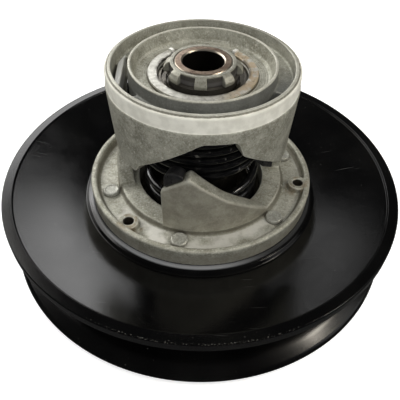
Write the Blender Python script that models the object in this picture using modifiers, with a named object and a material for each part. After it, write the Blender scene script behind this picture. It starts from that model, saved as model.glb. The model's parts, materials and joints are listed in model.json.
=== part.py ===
"""Driven pulley of a rubber-belt variable drive: sheaves, a torque cam pair, a coil spring and a hollow post.

Run it in Blender 4.5:  blender --background --python part.py
Sizes are in millimetres and become metres in the helpers. +Z runs along the shaft bore, from the rear hub
face (z = 0) to the cam cap. An azimuth of 0 degrees points to -Y, and azimuths grow anticlockwise seen
from above.
"""

import math

import bmesh
import bpy
from mathutils import Matrix, Vector

MM = 0.001
GAP = 0.3
SHEAVE_STEPS = 64
ROUND_STEPS = 48
TUBE_STEPS = 32
BOSS_STEPS = 24
SMALL_STEPS = 12
SMOOTH_ANGLE = 32.0
ARC_STEP = 6.0

# Heights that lie past everything, for cutters
ABOVE_ALL = 130.0
HOLE_SPAN = (5.0, 50.0)

# Sheaves
SHEAVE_R = 127.3
RIM_TOP = 46.0
BELT_R_OUT = 124.0
BELT_R_IN = 60.0
FIXED_LAND = 21.9
MOVABLE_LAND = 22.4
HUB_LAND = 33.7
SPIGOT_R = 48.0

# Centre post, the slotted nut on its end, the hubs and the slide bushes
BORE_R = 11.7
MOUTH = 0.6
POST_R = 15.9
POST_EDGE = 0.4
POST_TOP = 124.2
SHOULDER_R = 19.4
SHOULDER_Z = (95.6, 98.1)
NUT_R = 22.0
NUT_SLEEVE_R = 19.6
NUT_TOP = 124.0
NUT_BOTTOM = 112.5
SLOT_COUNT = 8
SLOT_FLOOR_Z = 117.4
SLOT_R = (18.5, 30.0)
FIRST_TOOTH = -3.0
TOOTH_ANGLE = 18.0
INSERT_R = 25.2
INSERT_TOP = 115.4
INSERT_BOTTOM = 98.4
TUBE_R = (20.3, 25.0)
TUBE_Z = (25.7, 75.0)
LOWER_BUSH_Z = (26.0, 41.0)
UPPER_BUSH_Z = (59.0, 74.7)

# Cam pair: three lobes on each half
CAM_COUNT = 3
CAM_PITCH = 360.0 / CAM_COUNT
CAP_TOP = 124.0
FLOOR_Z = 116.0
WEB_Z = 116.5
BAND_R = 54.1
BAND_LOW = 114.4
SKIRT_TOP_R = 54.7
SKIRT_R = 53.0
SKIRT_R_IN = 44.8
UNDERSIDE_R = (42.6, 58.0)
UNDERSIDE_Z = 60.0
RING_Z = (116.3, 117.9)
RING_R = (25.7, 31.0)
RING_HALF_ANGLE = 140.0
CAP_EDGE = (
    (-43.8, 75.8),
    (-40.3, 81.3),
    (-0.8, 106.8),
    (1.5, 107.7),
    (18.5, 107.4),
    (21.2, 104.8),
    (24.1, 97.1),
    (59.3, 75.8),
    (76.2, 75.8),
)
LOBE_TOP = (
    (-23.8, 72.4),
    (-8.0, 83.2),
    (-6.6, 84.0),
    (-5.2, 83.3),
    (16.0, 67.6),
    (34.0, 56.5),
    (49.0, 46.5),
)
LOBE_R = (44.5, 54.6)
LOBE_ROOT_Z = 36.0
CAM_BUTTON_SPAN = (-22.0, -10.5)
CAM_BUTTON_R = (45.2, 51.8)
CAM_BUTTON_TOP = 85.2
CAM_BUTTON_PEAK = -15.5
CAM_BUTTON_CROWN = 0.0722
CAP_BUTTON_SPAN = (41.0, 50.5)
CAP_BUTTON_R = (45.6, 51.8)
CAP_BUTTON_HEIGHT = 4.6
BUTTON_STEPS = 5
POCKET_SPAN = (10.5, 65.0)
POCKET_R = (41.9, 50.6)
POCKET_FLOOR = 5.0
RIB_AZIMUTH = 32.0
RIB_CENTRE = (46.9, 100.0)
RIB_SIZE = (60.0, 3.4, 90.0)

# Cam flange on the movable sheave
FLANGE_R = 72.6
FLANGE_TOP = 46.3
FLANGE_BOTTOM = 34.0
CHANNEL_Z = 40.7
PLATFORM_Z = 43.5
BOSS_AZIMUTHS = (-41.0, 79.5, 199.5)
BOSS_PITCH_R = 64.5
BOSS_R = 6.3
BOSS_TOP = 45.4
BOSS_ROOT_Z = 37.0
BOSS_HOLE_R = 3.25
RIVET_COUNT = 6
RIVET_PITCH_R = 60.5
RIVET_FIRST = -71.0
RIVET_HEAD_R = 5.3
RIVET_R = 3.0
RIVET_TAIL_Z = 24.6
REAR_RIVET_PITCH_R = 39.0

# Spring and its seats. The rise gives the wire's height above its lower end after so many turns.
SPRING_R = 35.0
WIRE_R = 2.5
SPRING_LOW = 33.6
SPRING_RISE = ((0.0, 0.0), (1.0, 6.5), (2.1, 14.7), (3.0, 33.5), (9.5, 70.8))
TURN_POINTS = 16
TOP_SEAT_R = (31.1, 40.0)
TOP_SEAT_Z = (109.7, 111.7)
SEAT_R_OUT = 40.6
SEAT_Z = (31.3, 33.3)


def point(azimuth, radius, z):
    """A point in metres from its azimuth in degrees and its radius and height in millimetres."""
    angle = math.radians(azimuth)
    return Vector((radius * math.sin(angle), -radius * math.cos(angle), z)) * MM


def clear_scene():
    for obj in list(bpy.data.objects):
        bpy.data.objects.remove(obj)


def collection(name):
    group = bpy.data.collections.new(name)
    bpy.context.scene.collection.children.link(group)
    return group


clear_scene()
PARTS = collection("driven_pulley")
CUTTERS = collection("cutters")


def material(name, colour, roughness, metallic):
    made = bpy.data.materials.new(name)
    made.use_nodes = True
    surface = made.node_tree.nodes["Principled BSDF"]
    surface.inputs["Base Color"].default_value = (*colour, 1.0)
    surface.inputs["Roughness"].default_value = roughness
    surface.inputs["Metallic"].default_value = metallic
    return made


def mesh_object(name, bm):
    """A new part from a bmesh whose faces are turned outwards first."""
    bmesh.ops.recalc_face_normals(bm, faces=bm.faces)
    mesh = bpy.data.meshes.new(name)
    bm.to_mesh(mesh)
    bm.free()
    obj = bpy.data.objects.new(name, mesh)
    PARTS.objects.link(obj)
    return obj


def turned(name, profile, steps=ROUND_STEPS):
    """A body of revolution whose (radius, height) profile runs down its outer side and up the inside."""
    bm = bmesh.new()
    verts = [bm.verts.new((radius * MM, 0.0, z * MM)) for radius, z in profile]
    for first, second in zip(verts, verts[1:]):
        bm.edges.new((first, second))
    if profile[0][0] > 0.0:
        bm.edges.new((verts[-1], verts[0]))
    mesh = bpy.data.meshes.new(name)
    bm.to_mesh(mesh)
    bm.free()
    obj = bpy.data.objects.new(name, mesh)
    PARTS.objects.link(obj)
    screw = obj.modifiers.new("turn", "SCREW")
    screw.steps = steps
    screw.render_steps = steps
    screw.use_merge_vertices = True
    screw.merge_threshold = 0.00001
    return obj


def stations(low, high, keys=()):
    """Azimuths from low to high: each key that lies between them, and steps of at most ARC_STEP."""
    marks = [low] + [key for key in keys if low < key < high] + [high]
    result = []
    for first, second in zip(marks, marks[1:]):
        count = max(1, math.ceil((second - first) / ARC_STEP))
        result += [first + (second - first) * i / count for i in range(count)]
    return result + [high]


def along(outline, position):
    """The height of an outline of (position, height) points at a position between its ends."""
    for (a, low), (b, high) in zip(outline, outline[1:]):
        if position <= b:
            return low + (high - low) * (position - a) / (b - a)
    return outline[-1][1]


def cap_edge(azimuth):
    """The cap skirt's lower edge, which repeats once for each lobe."""
    start = CAP_EDGE[0][0]
    return along(CAP_EDGE, (azimuth - start) % CAM_PITCH + start)


def cap_edge_keys():
    return [key + CAM_PITCH * i for i in range(-1, CAM_COUNT + 1) for key, _ in CAP_EDGE[:-1]]


def sector(name, azimuths, radii, bottom, top, closed=False):
    """A curved bar between two radii whose bottom and top heights follow functions of the azimuth."""
    bm = bmesh.new()
    rings = []
    for azimuth in azimuths:
        low, high = bottom(azimuth), top(azimuth)
        corners = ((radii[1], low), (radii[1], high), (radii[0], high), (radii[0], low))
        rings.append([bm.verts.new(point(azimuth, radius, z)) for radius, z in corners])
    following = rings[1:] + rings[:1] if closed else rings[1:]
    for ring, after in zip(rings, following):
        for i in range(4):
            j = (i + 1) % 4
            bm.faces.new((ring[i], ring[j], after[j], after[i]))
    if not closed:
        bm.faces.new(rings[0])
        bm.faces.new(rings[-1])
    return mesh_object(name, bm)


def level(z):
    """A height that is the same at every azimuth."""
    return lambda azimuth: z


def pins(name, places, radius, span, steps=SMALL_STEPS):
    """Upright cylinders of one radius at the given (azimuth, pitch radius) places."""
    bm = bmesh.new()
    for azimuth, pitch_radius in places:
        made = bmesh.ops.create_cone(
            bm,
            cap_ends=True,
            segments=steps,
            radius1=radius * MM,
            radius2=radius * MM,
            depth=(span[1] - span[0]) * MM,
        )
        centre = point(azimuth, pitch_radius, (span[0] + span[1]) / 2)
        bmesh.ops.translate(bm, verts=made["verts"], vec=centre)
    return mesh_object(name, bm)


def hide_as_cutter(obj):
    PARTS.objects.unlink(obj)
    CUTTERS.objects.link(obj)
    obj.hide_render = True
    obj.display_type = "WIRE"


def boolean(obj, tool, operation):
    hide_as_cutter(tool)
    modifier = obj.modifiers.new(tool.name, "BOOLEAN")
    modifier.operation = operation
    modifier.solver = "EXACT"
    modifier.object = tool


def cut(obj, tool):
    boolean(obj, tool, "DIFFERENCE")


def join(obj, tool):
    boolean(obj, tool, "UNION")


def settle(obj, finish):
    """Applies the modifiers, shades the round faces smooth and gives the part its material."""
    depsgraph = bpy.context.evaluated_depsgraph_get()
    mesh = bpy.data.meshes.new_from_object(obj.evaluated_get(depsgraph))
    obj.modifiers.clear()
    obj.data = mesh
    mesh.name = obj.name
    mesh.materials.clear()
    mesh.materials.append(finish)
    mesh.shade_smooth()
    mesh.set_sharp_from_angle(angle=math.radians(SMOOTH_ANGLE))
    return obj


def copies(obj, count, pitch_angle):
    """The piece and its copies round the Z axis, named with a number, all sharing one mesh."""
    stem = obj.name
    for i in range(count):
        other = obj if i == 0 else bpy.data.objects.new(stem, obj.data)
        other.name = f"{stem}_{i + 1}"
        other.rotation_euler.z = math.radians(pitch_angle * i)
        if i:
            PARTS.objects.link(other)


def rivet_places(pitch_radius, first):
    return [(first + 360.0 / RIVET_COUNT * i, pitch_radius) for i in range(RIVET_COUNT)]


def fixed_sheave(finish):
    profile = (
        (BELT_R_IN, FIXED_LAND),
        (BELT_R_OUT, 8.0),
        (126.3, 6.9),
        (SHEAVE_R, 4.7),
        (126.6, 2.9),
        (124.8, 2.2),
        (121.0, 3.0),
        (61.0, 15.8),
        (POST_R + GAP, 15.8),
        (POST_R + GAP, FIXED_LAND),
    )
    obj = turned("fixed_sheave", profile, SHEAVE_STEPS)
    places = rivet_places(REAR_RIVET_PITCH_R, 0.0)
    cut(obj, pins("fixed_sheave_holes", places, RIVET_R + GAP, HOLE_SPAN))
    settle(obj, finish)


def rear_hub(finish):
    profile = (
        (46.0, 15.5),
        (46.0, 10.1),
        (45.4, 9.5),
        (32.5, 9.5),
        (31.0, 8.0),
        (31.0, 0.8),
        (30.2, 0.0),
        (POST_R + GAP, 0.0),
        (POST_R + GAP, 15.5),
    )
    obj = turned("rear_hub", profile)
    places = rivet_places(REAR_RIVET_PITCH_R, 0.0)
    cut(obj, pins("rear_hub_holes", places, RIVET_R + GAP, HOLE_SPAN))
    settle(obj, finish)


def rear_rivets(finish):
    profile = ((0.0, 21.5), (RIVET_R, 21.5), (RIVET_R, 9.2), (5.0, 9.2), (4.4, 7.8), (0.0, 7.4))
    obj = turned("rear_rivet", profile, SMALL_STEPS)
    settle(obj, finish)
    obj.data.transform(Matrix.Translation(point(0.0, REAR_RIVET_PITCH_R, 0.0)))
    copies(obj, RIVET_COUNT, 360.0 / RIVET_COUNT)


def movable_sheave(finish):
    profile = (
        (126.7, RIM_TOP),
        (SHEAVE_R, RIM_TOP - 0.6),
        (SHEAVE_R, 40.4),
        (126.4, 39.5),
        (BELT_R_OUT, 39.5),
        (BELT_R_IN, MOVABLE_LAND),
        (SPIGOT_R + GAP, MOVABLE_LAND),
        (SPIGOT_R + GAP, HUB_LAND),
        (73.0, HUB_LAND),
        (76.4, 32.6),
        (77.6, 30.7),
        (120.8, 44.5),
        (121.4, 45.5),
    )
    obj = turned("movable_sheave", profile, SHEAVE_STEPS)
    places = rivet_places(RIVET_PITCH_R, RIVET_FIRST)
    cut(obj, pins("movable_sheave_holes", places, RIVET_R + GAP, HOLE_SPAN))
    settle(obj, finish)


def cam_flange(finish):
    profile = (
        (72.1, FLANGE_TOP),
        (FLANGE_R, FLANGE_TOP - 0.5),
        (71.5, FLANGE_BOTTOM),
        (SPIGOT_R, FLANGE_BOTTOM),
        (SPIGOT_R, 25.4),
        (TUBE_R[1] + GAP, 25.4),
        (TUBE_R[1] + GAP, 31.0),
        (41.0, 31.0),
        (41.0, PLATFORM_Z),
        (52.8, PLATFORM_Z),
        (54.9, CHANNEL_Z),
        (66.8, CHANNEL_Z),
        (68.1, 42.4),
        (68.4, FLANGE_TOP),
    )
    obj = turned("cam_flange", profile)
    for i in range(CAM_COUNT):
        join(obj, cam_lobe(i))
    bosses = [(azimuth, BOSS_PITCH_R) for azimuth in BOSS_AZIMUTHS]
    join(obj, pins("cam_bosses", bosses, BOSS_R, (BOSS_ROOT_Z, BOSS_TOP), BOSS_STEPS))
    cut(obj, pins("cam_boss_holes", bosses, BOSS_HOLE_R, HOLE_SPAN))
    places = rivet_places(RIVET_PITCH_R, RIVET_FIRST)
    cut(obj, pins("cam_flange_holes", places, RIVET_R + GAP, HOLE_SPAN))
    settle(obj, finish)


def cam_lobe(index):
    """One lobe of the movable half: a short slope up to its peak and a long one down to the platform."""
    turn = CAM_PITCH * index
    keys = [azimuth for azimuth, _ in LOBE_TOP]
    azimuths = [azimuth + turn for azimuth in stations(keys[0], keys[-1], keys)]

    def top(azimuth):
        return along(LOBE_TOP, azimuth - turn)

    return sector(f"cam_lobe_{index + 1}", azimuths, LOBE_R, level(LOBE_ROOT_Z), top)


def cam_rivets(finish):
    profile = (
        (0.0, 43.0),
        (4.6, 42.6),
        (RIVET_HEAD_R, 41.9),
        (RIVET_HEAD_R, 41.0),
        (RIVET_R, 41.0),
        (RIVET_R, RIVET_TAIL_Z),
        (0.0, RIVET_TAIL_Z),
    )
    obj = turned("cam_rivet", profile, SMALL_STEPS)
    settle(obj, finish)
    obj.data.transform(Matrix.Translation(point(RIVET_FIRST, RIVET_PITCH_R, 0.0)))
    copies(obj, RIVET_COUNT, 360.0 / RIVET_COUNT)


def button_stations(span):
    low, high = span
    return [low + (high - low) * i / BUTTON_STEPS for i in range(BUTTON_STEPS + 1)]


def cam_buttons(finish):
    """Sliders with a crowned top on the short slopes of the movable half's lobes."""

    def bottom(azimuth):
        return along(LOBE_TOP, azimuth) + GAP

    def top(azimuth):
        return CAM_BUTTON_TOP - CAM_BUTTON_CROWN * (azimuth - CAM_BUTTON_PEAK) ** 2

    obj = sector("cam_button", button_stations(CAM_BUTTON_SPAN), CAM_BUTTON_R, bottom, top)
    settle(obj, finish)
    copies(obj, CAM_COUNT, CAM_PITCH)


def cap_buttons(finish):
    """Sliders under the long slopes of the cap's lobes."""

    def bottom(azimuth):
        return cap_edge(azimuth) - CAP_BUTTON_HEIGHT

    def top(azimuth):
        return cap_edge(azimuth) - GAP

    obj = sector("cap_button", button_stations(CAP_BUTTON_SPAN), CAP_BUTTON_R, bottom, top)
    settle(obj, finish)
    copies(obj, CAM_COUNT, CAM_PITCH)


def outer_cam_cap(finish):
    profile = (
        (52.4, CAP_TOP),
        (53.7, 123.2),
        (BAND_R, 122.2),
        (BAND_R, BAND_LOW),
        (SKIRT_TOP_R, BAND_LOW),
        (SKIRT_R, 84.0),
        (SKIRT_R, 75.0),
        (SKIRT_R_IN, 75.0),
        (SKIRT_R_IN, 108.2),
        (40.4, 108.2),
        (40.4, 112.0),
        (30.8, 112.0),
        (30.8, 98.0),
        (INSERT_R + GAP, 98.0),
        (INSERT_R + GAP, FLOOR_Z),
        (38.8, FLOOR_Z),
        (39.8, CAP_TOP + 0.2),
        (41.2, CAP_TOP + 0.2),
        (41.5, CAP_TOP - 0.2),
        (41.5, WEB_Z),
        (51.0, WEB_Z),
        (51.0, CAP_TOP),
    )
    obj = turned("outer_cam_cap", profile)
    start = CAP_EDGE[0][0]
    azimuths = stations(start, start + 360.0, cap_edge_keys())[:-1]
    cut(obj, sector("cap_underside", azimuths, UNDERSIDE_R, level(UNDERSIDE_Z), cap_edge, closed=True))
    for i in range(CAM_COUNT):
        cut(obj, cap_pocket(i))
    settle(obj, finish)


def cap_pocket(index):
    """The cored-out hollow in one lobe of the cap, crossed by a straight rib."""
    turn = CAM_PITCH * index
    azimuths = stations(POCKET_SPAN[0] + turn, POCKET_SPAN[1] + turn, cap_edge_keys())

    def floor(azimuth):
        return cap_edge(azimuth) + POCKET_FLOOR

    pocket = sector(f"cap_pocket_{index + 1}", azimuths, POCKET_R, floor, level(ABOVE_ALL))
    bm = bmesh.new()
    bmesh.ops.create_cube(bm, size=1.0)
    bmesh.ops.scale(bm, verts=bm.verts, vec=Vector(RIB_SIZE) * MM)
    rib = mesh_object(f"cap_rib_{index + 1}", bm)
    rib.location = point(RIB_AZIMUTH + turn, *RIB_CENTRE)
    rib.rotation_euler.z = math.radians(RIB_AZIMUTH + turn)
    cut(pocket, rib)
    return pocket


def centre_post(finish):
    profile = (
        (POST_R - POST_EDGE, POST_TOP),
        (POST_R, POST_TOP - POST_EDGE),
        (POST_R, SHOULDER_Z[1]),
        (SHOULDER_R, SHOULDER_Z[1]),
        (SHOULDER_R, SHOULDER_Z[0]),
        (POST_R, SHOULDER_Z[0]),
        (POST_R, POST_EDGE),
        (POST_R - POST_EDGE, 0.0),
        (BORE_R + MOUTH, 0.0),
        (BORE_R, MOUTH),
        (BORE_R, POST_TOP - MOUTH),
        (BORE_R + MOUTH, POST_TOP),
    )
    settle(turned("centre_post", profile), finish)


def spanner_nut(finish):
    """The round nut on the post's end, with slots for a hook spanner."""
    inner = POST_R + GAP
    profile = (
        (18.3, NUT_TOP),
        (20.4, 122.6),
        (NUT_R, 120.4),
        (NUT_R, 118.4),
        (NUT_SLEEVE_R, 117.0),
        (NUT_SLEEVE_R, NUT_BOTTOM),
        (inner, NUT_BOTTOM),
        (inner, NUT_TOP),
    )
    obj = turned("spanner_nut", profile)
    slot = 360.0 / SLOT_COUNT - TOOTH_ANGLE
    for i in range(SLOT_COUNT):
        middle = FIRST_TOOTH + 360.0 / SLOT_COUNT * (i + 0.5)
        azimuths = stations(middle - slot / 2, middle + slot / 2)
        cut(obj, sector(f"nut_slot_{i + 1}", azimuths, SLOT_R, level(SLOT_FLOOR_Z), level(ABOVE_ALL)))
    settle(obj, finish)


def hub_insert(finish):
    """The steel hub that carries the cap on the post, stepped under the nut."""
    profile = (
        (INSERT_R, INSERT_TOP),
        (INSERT_R, INSERT_BOTTOM),
        (POST_R + GAP, INSERT_BOTTOM),
        (POST_R + GAP, NUT_BOTTOM - GAP),
        (20.6, NUT_BOTTOM - GAP),
        (20.6, 114.0),
        (23.4, 114.0),
        (23.4, INSERT_TOP),
    )
    settle(turned("hub_insert", profile), finish)


def tube(name, radii, span, finish):
    """A plain tube or washer."""
    inner, outer = radii
    low, high = span
    profile = ((outer, high), (outer, low), (inner, low), (inner, high))
    settle(turned(name, profile, TUBE_STEPS), finish)


def retaining_ring(finish):
    """A snap ring that is open at the back."""
    azimuths = stations(-RING_HALF_ANGLE, RING_HALF_ANGLE)
    settle(sector("retaining_ring", azimuths, RING_R, level(RING_Z[0]), level(RING_Z[1])), finish)


def spring(finish):
    """A round wire wound into a coil: three turns below a wide gap, and the closer turns above it."""
    curve = bpy.data.curves.new("spring", "CURVE")
    curve.dimensions = "3D"
    curve.bevel_depth = WIRE_R * MM
    curve.bevel_resolution = 2
    curve.use_fill_caps = True
    count = int(SPRING_RISE[-1][0] * TURN_POINTS) + 1
    line = curve.splines.new("POLY")
    line.points.add(count - 1)
    for i in range(count):
        turn = i / TURN_POINTS
        height = SPRING_LOW + WIRE_R + along(SPRING_RISE, turn)
        line.points[i].co = (*point(360.0 * turn, SPRING_R, height), 1.0)
    wire = bpy.data.objects.new("spring_wire", curve)
    PARTS.objects.link(wire)
    depsgraph = bpy.context.evaluated_depsgraph_get()
    mesh = bpy.data.meshes.new_from_object(wire.evaluated_get(depsgraph))
    bpy.data.objects.remove(wire)
    bm = bmesh.new()
    bm.from_mesh(mesh)
    bmesh.ops.remove_doubles(bm, verts=bm.verts, dist=0.000001)
    settle(mesh_object("spring", bm), finish)


def build():
    black_paint = material("black_paint", (0.015, 0.015, 0.016), 0.32, 0.0)
    cast = material("cast_aluminium", (0.42, 0.40, 0.35), 0.48, 0.9)
    steel = material("steel", (0.55, 0.54, 0.50), 0.35, 1.0)
    brown_steel = material("brown_steel", (0.38, 0.27, 0.19), 0.36, 1.0)
    dark_steel = material("dark_steel", (0.10, 0.09, 0.08), 0.42, 0.9)
    bronze = material("bronze", (0.38, 0.24, 0.15), 0.38, 1.0)
    bright = material("bright_steel", (0.80, 0.76, 0.66), 0.22, 1.0)
    spring_black = material("spring_black", (0.012, 0.012, 0.013), 0.28, 0.0)
    nylon = material("black_nylon", (0.02, 0.02, 0.02), 0.6, 0.0)
    rivet_steel = material("rivet_steel", (0.50, 0.48, 0.42), 0.40, 0.9)

    fixed_sheave(black_paint)
    rear_hub(steel)
    rear_rivets(rivet_steel)
    centre_post(brown_steel)
    spanner_nut(steel)
    hub_insert(dark_steel)
    outer_cam_cap(cast)
    cap_buttons(nylon)
    retaining_ring(bright)
    tube("spring_top_seat", TOP_SEAT_R, TOP_SEAT_Z, dark_steel)
    spring(spring_black)
    tube("spring_seat", (TUBE_R[1] + 2 * GAP, SEAT_R_OUT), SEAT_Z, dark_steel)
    movable_sheave(black_paint)
    cam_flange(cast)
    cam_rivets(rivet_steel)
    cam_buttons(nylon)
    tube("hub_tube", TUBE_R, TUBE_Z, dark_steel)
    bush_radii = (POST_R + GAP, TUBE_R[0] - GAP)
    tube("slide_bush_lower", bush_radii, LOWER_BUSH_Z, bronze)
    tube("slide_bush_upper", bush_radii, UPPER_BUSH_Z, bronze)


build()
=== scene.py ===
"""The finished look of a driven variable-drive pulley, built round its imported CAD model.

Sizes are in millimetres and become metres in the helpers; the studio's are in metres. +Z runs along the
shaft bore. An azimuth of 0 degrees points to -Y, and azimuths grow anticlockwise seen from above.
"""

import json
import math

import bmesh
import bpy
from mathutils import Matrix, Vector

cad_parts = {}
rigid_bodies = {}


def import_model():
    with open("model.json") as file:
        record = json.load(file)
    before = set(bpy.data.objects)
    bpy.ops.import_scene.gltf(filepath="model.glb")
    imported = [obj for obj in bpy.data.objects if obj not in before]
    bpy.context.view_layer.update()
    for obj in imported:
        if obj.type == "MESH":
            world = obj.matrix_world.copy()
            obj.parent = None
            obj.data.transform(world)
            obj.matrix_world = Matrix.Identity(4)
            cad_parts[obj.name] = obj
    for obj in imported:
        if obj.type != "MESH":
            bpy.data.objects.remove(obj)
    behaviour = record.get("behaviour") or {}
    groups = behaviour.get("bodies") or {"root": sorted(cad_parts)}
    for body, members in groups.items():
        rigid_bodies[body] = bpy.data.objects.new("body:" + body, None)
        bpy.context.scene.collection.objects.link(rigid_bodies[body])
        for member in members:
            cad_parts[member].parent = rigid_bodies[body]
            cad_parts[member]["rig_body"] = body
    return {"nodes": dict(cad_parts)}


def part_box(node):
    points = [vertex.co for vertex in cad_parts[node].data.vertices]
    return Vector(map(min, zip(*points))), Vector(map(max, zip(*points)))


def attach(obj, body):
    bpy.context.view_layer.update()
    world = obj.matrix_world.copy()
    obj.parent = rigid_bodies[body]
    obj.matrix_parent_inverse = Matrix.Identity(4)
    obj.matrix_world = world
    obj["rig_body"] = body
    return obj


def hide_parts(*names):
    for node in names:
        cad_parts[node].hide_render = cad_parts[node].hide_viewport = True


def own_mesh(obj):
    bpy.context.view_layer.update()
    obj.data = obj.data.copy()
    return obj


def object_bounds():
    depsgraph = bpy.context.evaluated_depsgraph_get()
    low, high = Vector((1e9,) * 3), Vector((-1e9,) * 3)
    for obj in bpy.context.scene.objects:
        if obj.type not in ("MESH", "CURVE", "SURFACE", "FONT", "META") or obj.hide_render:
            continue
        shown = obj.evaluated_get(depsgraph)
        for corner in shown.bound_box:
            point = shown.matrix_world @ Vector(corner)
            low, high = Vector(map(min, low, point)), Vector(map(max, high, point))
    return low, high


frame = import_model()
CAD_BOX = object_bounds()

MM = 0.001
NODES = frame["nodes"]

# How finely the surfaces are built: steps in a turn or corner, degrees in an arc, and voxel sizes in mm
SHEAVE_STEPS = 256
TURN_STEPS = 160
SMALL_STEPS = 40
CORNER_STEPS = 4
BAR_CORNER_STEPS = 3
ARC_STEP = 1.0
COARSE = 1.0
CAP_VOXEL = 0.48 * COARSE
FLANGE_VOXEL = 0.52 * COARSE
NUT_VOXEL = 0.24 * COARSE
BUTTON_VOXEL = 0.35 * COARSE
MERGE_DISTANCE = 0.005
CORNER_REACH = 0.45
NEARLY_STRAIGHT = 1.55

# Heights and radii read back from the frame, in millimetres
POST_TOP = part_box("centre_post")[1].z / MM
CUP_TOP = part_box("outer_cam_cap")[1].z / MM
CAP_TOP = CUP_TOP - 0.2
RIM_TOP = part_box("movable_sheave")[1].z / MM
SHEAVE_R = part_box("movable_sheave")[1].x / MM
SPRING_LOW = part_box("spring")[0].z / MM

# Cam pair: three lobes on each half
CAM_COUNT = 3
CAM_PITCH = 360.0 / CAM_COUNT
CAP_WALL_R = 54.0
BAND_R = 54.1
BAND_LOW = 114.4
SKIRT_CUT_R = (42.6, 58.0)
SKIRT_CUT_LOW = 60.0
CAP_EDGE = (
    (-43.8, 75.8),
    (-40.3, 81.3),
    (-0.8, 106.8),
    (1.5, 107.7),
    (18.5, 107.4),
    (21.2, 104.8),
    (24.1, 97.1),
    (59.3, 75.8),
    (76.2, 75.8),
)
LOBE_TOP = (
    (-23.8, 72.4),
    (-8.0, 83.2),
    (-6.6, 84.0),
    (-5.2, 83.3),
    (16.0, 67.6),
    (34.0, 56.5),
    (49.0, 46.5),
)
LOBE_R = (44.5, 54.6)
LOBE_ROOT_Z = 38.0
CAM_BUTTON_SPAN = (-22.2, -10.2)
CAM_BUTTON_R = (45.0, 53.0)
CAM_BUTTON_TOP = 85.3
CAM_BUTTON_PEAK = -15.5
CAM_BUTTON_CROWN = 0.072
CAP_BUTTON_SPAN = (41.0, 50.5)
CAP_BUTTON_R = (45.6, 52.4)
CAP_BUTTON_HEIGHT = 4.6
BUTTON_GAP = 0.3
POCKET_SPAN = (10.5, 65.0)
POCKET_R = (41.9, 50.3)
RIB_AZIMUTH = 32.0
RIB_CENTRE = (46.9, 100.0)
RIB_SIZE = (60.0, 3.4, 90.0)
POCKET_FLOOR = 5.0
ABOVE_ALL = 130.0

# Flange fittings
PLATFORM_Z = 43.5
CHANNEL_Z = 40.7
BOSS_AZIMUTHS = (-41.0, 79.5, 199.5)
BOSS_PITCH_R = 64.5
BOSS_R = 6.3
BOSS_TOP = 45.4
BOSS_HOLE_R = 3.25
BOSS_ROOT_Z = 37.0
BOSS_HOLE_SPAN = (30.0, 50.0)
RIVET_COUNT = 6
RIVET_PITCH_R = 60.5
RIVET_FIRST = -71.0
RIVET_SHANK_R = 3.0
REAR_RIVET_PITCH_R = 39.0

# Slotted nut
SLOT_COUNT = 8
SLOT_FLOOR_Z = 117.4
SLOT_R = (18.5, 30.0)
FIRST_TOOTH = -3.0
TOOTH_ANGLE = 18.0

# Retaining ring
RING_END = 140.0
RING_R = (25.7, 31.0)
RING_Z = (116.3, 117.9)
LUG_SPAN = (136.2, 140.6)
LUG_R = (26.6, 30.2)
LUG_Z = (116.5, 119.4)

# Spring
SPRING_R = 35.0
WIRE_R = 2.5
SPRING_RISE = ((0.0, 0.0), (1.0, 6.5), (2.1, 14.7), (3.0, 33.5), (9.5, 70.8))
WIRE_POINTS = 48
WIRE_ROUNDNESS = 5

# Studio, in metres and degrees
FLOOR_SIZE = 6.0
FLOOR_DROP = 0.0002
FLOOR_LIFT = 0.55
WORLD_SHADE = 0.15
WORLD_IN_GLOSS = 0.035
WORLD_SEEN = 0.80
CAMERA_PLACE = (0.0, -0.2289, 0.2475)
CAMERA_ELEVATION = 45.46
CAMERA_ROLL = 1.38
CAMERA_LENS = 40.91


# ---------------------------------------------------------------- shapes


def point(azimuth, radius, z):
    """A point in metres from its azimuth in degrees and its radius and height in millimetres."""
    angle = math.radians(azimuth)
    return Vector((radius * math.sin(angle), -radius * math.cos(angle), z)) * MM


def arc(corner, before, after, fillet, steps):
    """The points that round one corner, whose neighbours lie at the vectors before and after from it."""
    reach = CORNER_REACH * min(before.length, after.length)
    before, after = before.normalized(), after.normalized()
    half = before.angle(after) / 2
    if fillet <= 0.0 or half > NEARLY_STRAIGHT:
        return [corner] * (steps + 1)
    set_back = min(fillet / math.tan(half), reach)
    radius = set_back * math.tan(half)
    centre = corner + (before + after).normalized() * (radius / math.sin(half))
    start = corner + before * set_back - centre
    end = corner + after * set_back - centre
    first = math.atan2(start.y, start.x)
    sweep = math.atan2(start.x * end.y - start.y * end.x, start.dot(end))
    angles = [first + sweep * i / steps for i in range(steps + 1)]
    return [centre + Vector((math.cos(a), math.sin(a))) * radius for a in angles]


def rounded(outline, fillet=0.4, steps=CORNER_STEPS, closed=True):
    """An outline of 2D points with its corners rounded. A point's third number is its own fillet radius."""
    corners = [Vector(p[:2]) for p in outline]
    result = []
    for i, corner in enumerate(corners):
        size = outline[i][2] if len(outline[i]) > 2 else fillet
        ends = not closed and i in (0, len(corners) - 1)
        if ends or corner.x == 0.0 or size == 0.0:
            result.append(corner)
            continue
        before = corners[i - 1] - corner
        after = corners[(i + 1) % len(corners)] - corner
        result += arc(corner, before, after, size, steps)
    return [tuple(p) for p in result]


def add_mesh(name, bm):
    """A new object from a bmesh whose faces are turned outwards first."""
    bmesh.ops.recalc_face_normals(bm, faces=bm.faces)
    mesh = bpy.data.meshes.new(name)
    bm.to_mesh(mesh)
    bm.free()
    obj = bpy.data.objects.new(name, mesh)
    bpy.context.scene.collection.objects.link(obj)
    return obj


def realise(obj):
    """Applies the object's modifiers."""
    depsgraph = bpy.context.evaluated_depsgraph_get()
    mesh = bpy.data.meshes.new_from_object(obj.evaluated_get(depsgraph))
    obj.modifiers.clear()
    obj.data = mesh
    mesh.name = obj.name
    return obj


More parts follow.
